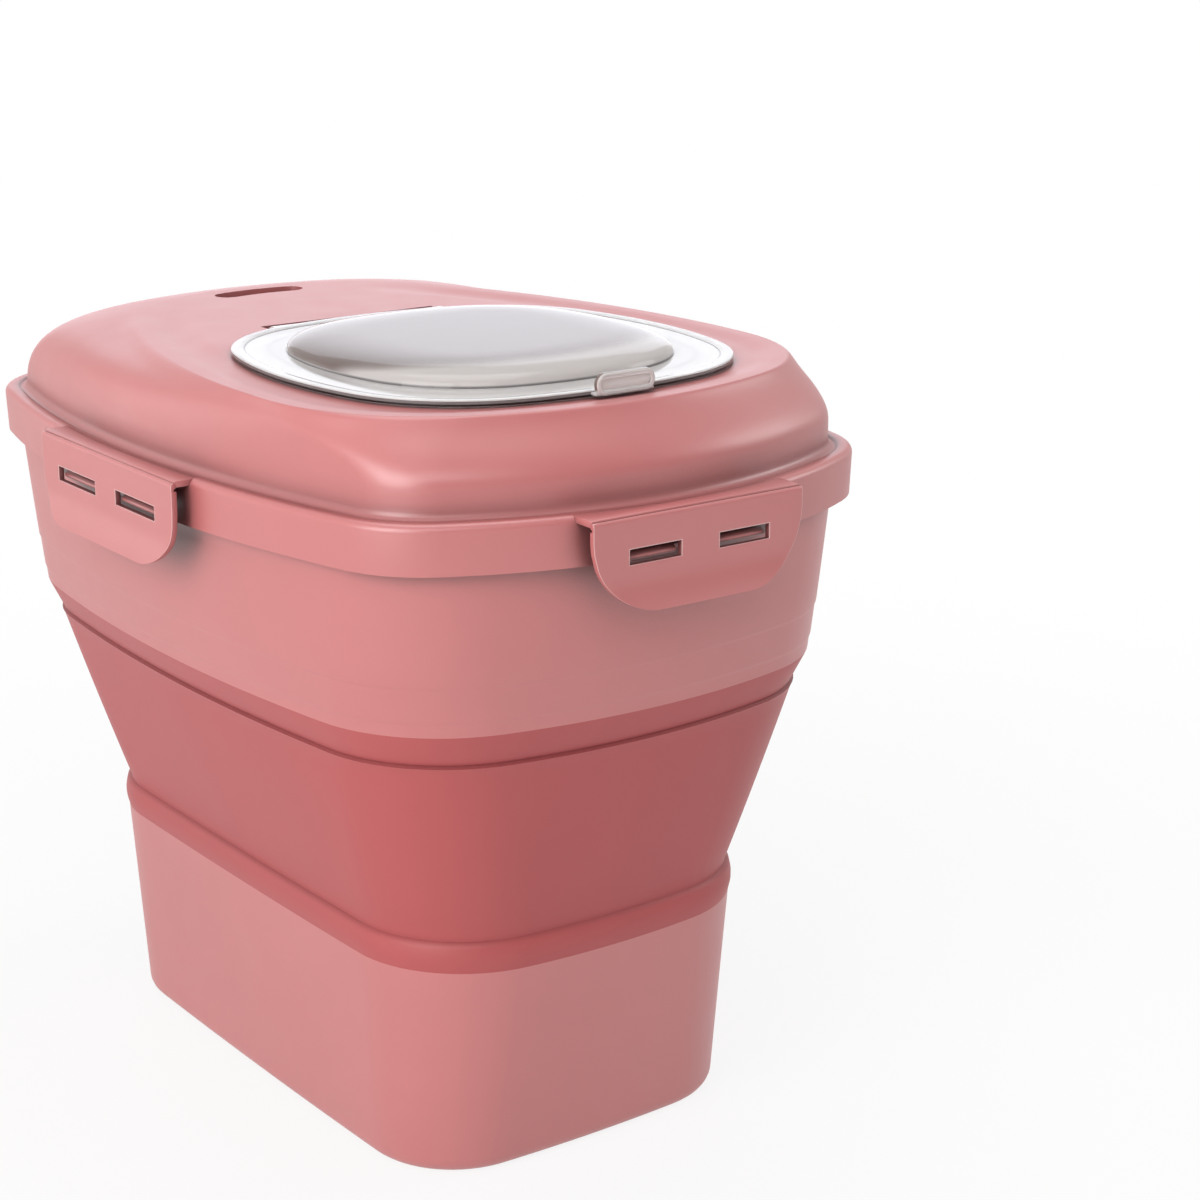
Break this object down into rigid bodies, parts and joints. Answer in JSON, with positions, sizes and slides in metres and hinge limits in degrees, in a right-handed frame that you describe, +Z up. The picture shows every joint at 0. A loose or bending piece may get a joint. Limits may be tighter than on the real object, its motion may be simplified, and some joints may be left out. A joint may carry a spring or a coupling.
{
  "type": "collapsible food storage container",
  "caption": "Collapsible dry food keeper: stiff tub and collar joined by a soft folding wall, domed latching lid with a clear flip window.",
  "frame": {"origin": "on the floor under the middle of the tub", "axes": "+Z up, +Y from the window's thumb tab towards the hand slot along the long side, +X to the right seen from the front"},
  "size_m": [0.2456, 0.3456, 0.2787],
  "materials": {
    "pink_plastic": "satin moulded polypropylene, dusty pink",
    "soft_wall": "soft matt elastomer, deep rose",
    "seal": "translucent silicone, off-white",
    "clear_plastic": "clear polished moulding"
  },
  "bodies": {
    "tub": {"tub": "pink_plastic", "bellows": "soft_wall"},
    "collar": {"collar": "pink_plastic"},
    "lid": {"lid": "pink_plastic", "lid_seal": "seal", "window_seal": "seal"},
    "window": {"window": "clear_plastic"},
    "front_latch": {"front_latch": "pink_plastic"},
    "rear_latch": {"rear_latch": "pink_plastic"},
    "left_latch": {"left_latch": "pink_plastic"},
    "right_latch": {"right_latch": "pink_plastic"}
  },
  "joints": [
    {"name": "collapse", "type": "slide", "parent": "tub", "child": "collar", "axis": [0, 0, -1], "range_m": [0, 0.158], "deforming": ["bellows"]},
    {"name": "lid_lift", "type": "slide", "parent": "collar", "child": "lid", "axis": [0, 0, 1], "range_m": [0, 0.12]},
    {"name": "window_hinge", "type": "hinge", "parent": "lid", "child": "window", "pos_m": [0, 0.036, 0.2664], "axis": [-1, 0, 0], "range_deg": [0, 100]},
    {"name": "front_latch_hinge", "type": "hinge", "parent": "lid", "child": "front_latch", "pos_m": [0, -0.1682, 0.2386], "axis": [-1, 0, 0], "range_deg": [0, 120]},
    {"name": "rear_latch_hinge", "type": "hinge", "parent": "lid", "child": "rear_latch", "pos_m": [0, 0.1682, 0.2386], "axis": [1, 0, 0], "range_deg": [0, 120]},
    {"name": "left_latch_hinge", "type": "hinge", "parent": "lid", "child": "left_latch", "pos_m": [-0.1182, 0, 0.2386], "axis": [0, 1, 0], "range_deg": [0, 120]},
    {"name": "right_latch_hinge", "type": "hinge", "parent": "lid", "child": "right_latch", "pos_m": [0.1182, 0, 0.2386], "axis": [0, -1, 0], "range_deg": [0, 120]}
  ]
}
